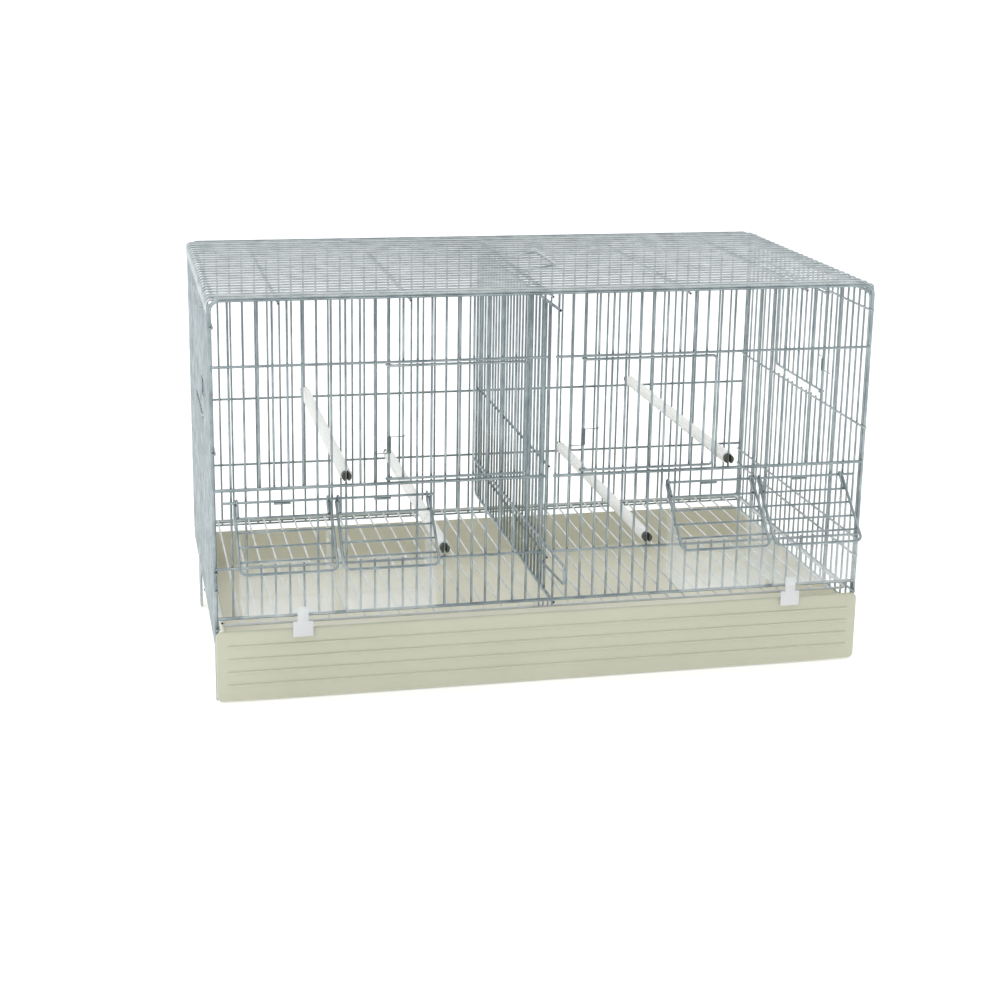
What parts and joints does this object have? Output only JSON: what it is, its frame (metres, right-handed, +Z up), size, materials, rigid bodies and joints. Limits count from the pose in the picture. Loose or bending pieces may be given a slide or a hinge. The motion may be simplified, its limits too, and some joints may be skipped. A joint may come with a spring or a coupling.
{
  "type": "canary breeding cage",
  "caption": "Double wire breeding cage with spring doors, hooded seed troughs, a draw-out divider, perches and a ribbed droppings tray.",
  "frame": {"origin": "centre of the outer bounding box at floor level", "axes": "+X to the right seen from the front, +Y from the front to the back, +Z up"},
  "size_m": [0.5824, 0.3854, 0.3519],
  "materials": {
    "zinc_wire": "satin zinc plated wire",
    "pale_wire": "bright zinc plated wire",
    "spring_steel": "plated spring wire",
    "cream_plastic": "satin moulded",
    "white_plastic": "satin moulded",
    "clear_plastic": "gloss transparent",
    "perch_plastic": "satin moulded",
    "olive_plastic": "satin moulded"
  },
  "bodies": {
    "cage": {"front_panel": "zinc_wire", "back_panel": "zinc_wire", "roof_panel": "zinc_wire", "left_side_panel": "zinc_wire", "right_side_panel": "zinc_wire", "side_door_spring_left": "spring_steel", "side_door_spring_right": "spring_steel", "door_spring_left": "spring_steel", "door_spring_right": "spring_steel", "feeder_hinge_rod_left": "zinc_wire", "feeder_hinge_rod_right": "zinc_wire", "tray_support_wire_front": "zinc_wire", "tray_support_wire_rear": "zinc_wire", "feeder_trough_1": "clear_plastic", "perch_1": "perch_plastic", "perch_cap_front_1": "olive_plastic", "perch_cap_rear_1": "olive_plastic", "feeder_trough_2": "clear_plastic", "perch_2": "perch_plastic", "perch_cap_front_2": "olive_plastic", "perch_cap_rear_2": "olive_plastic", "feeder_trough_3": "clear_plastic", "perch_3": "perch_plastic", "perch_cap_front_3": "olive_plastic", "perch_cap_rear_3": "olive_plastic", "feeder_trough_4": "clear_plastic", "perch_4": "perch_plastic", "perch_cap_front_4": "olive_plastic", "perch_cap_rear_4": "olive_plastic"},
    "left_door": {"door_left": "zinc_wire"},
    "right_door": {"door_right": "zinc_wire"},
    "left_side_door": {"side_door_left": "zinc_wire"},
    "right_side_door": {"side_door_right": "zinc_wire"},
    "divider": {"divider_grille": "zinc_wire"},
    "tray": {"droppings_tray": "cream_plastic", "tray_clip_left": "white_plastic", "tray_clip_right": "white_plastic", "floor_grille": "pale_wire"},
    "handle": {"carry_handle": "zinc_wire"},
    "hood_1": {"feeder_hood_1": "zinc_wire"},
    "hood_2": {"feeder_hood_2": "zinc_wire"},
    "hood_3": {"feeder_hood_3": "zinc_wire"},
    "hood_4": {"feeder_hood_4": "zinc_wire"}
  },
  "joints": [
    {"name": "left_door_hinge", "type": "hinge", "parent": "cage", "child": "left_door", "pos_m": [-0.1409, -0.1215, 0.24], "axis": [0, 0, 1], "range_deg": [-110, 0], "stiffness_Nm_per_rad": 0.02, "springref_deg": 45.84, "deforming": ["door_spring_left"]},
    {"name": "right_door_hinge", "type": "hinge", "parent": "cage", "child": "right_door", "pos_m": [0.0285, -0.1215, 0.24], "axis": [0, 0, 1], "range_deg": [-110, 0], "stiffness_Nm_per_rad": 0.02, "springref_deg": 45.84, "deforming": ["door_spring_right"]},
    {"name": "left_side_door_hinge", "type": "hinge", "parent": "cage", "child": "left_side_door", "pos_m": [-0.2883, -0.0208, 0.274], "axis": [0, 0, 1], "range_deg": [0, 110], "stiffness_Nm_per_rad": 0.02, "springref_deg": -45.84, "deforming": ["side_door_spring_left"]},
    {"name": "right_side_door_hinge", "type": "hinge", "parent": "cage", "child": "right_side_door", "pos_m": [0.2883, -0.0208, 0.274], "axis": [0, 0, 1], "range_deg": [-110, 0], "stiffness_Nm_per_rad": 0.02, "springref_deg": 45.84, "deforming": ["side_door_spring_right"]},
    {"name": "divider_slide", "type": "slide", "parent": "cage", "child": "divider", "axis": [0, -1, 0], "range_m": [0, 0.27]},
    {"name": "tray_slide", "type": "slide", "parent": "cage", "child": "tray", "axis": [0, -1, 0], "range_m": [0, 0.28]},
    {"name": "carry_handle_hinge", "type": "hinge", "parent": "cage", "child": "handle", "pos_m": [-0.00175, 0.03979, 0.3449], "axis": [0, -1, 0], "range_deg": [0, 155]},
    {"name": "hood_1_hinge", "type": "hinge", "parent": "cage", "child": "hood_1", "pos_m": [-0.23165, -0.1256, 0.1775], "axis": [-1, 0, 0], "range_deg": [0, 100]},
    {"name": "hood_2_hinge", "type": "hinge", "parent": "cage", "child": "hood_2", "pos_m": [-0.14695, -0.1256, 0.1775], "axis": [-1, 0, 0], "range_deg": [0, 100]},
    {"name": "hood_3_hinge", "type": "hinge", "parent": "cage", "child": "hood_3", "pos_m": [0.14345, -0.1256, 0.1775], "axis": [-1, 0, 0], "range_deg": [0, 100]},
    {"name": "hood_4_hinge", "type": "hinge", "parent": "cage", "child": "hood_4", "pos_m": [0.22815, -0.1256, 0.1775], "axis": [-1, 0, 0], "range_deg": [0, 100]}
  ]
}
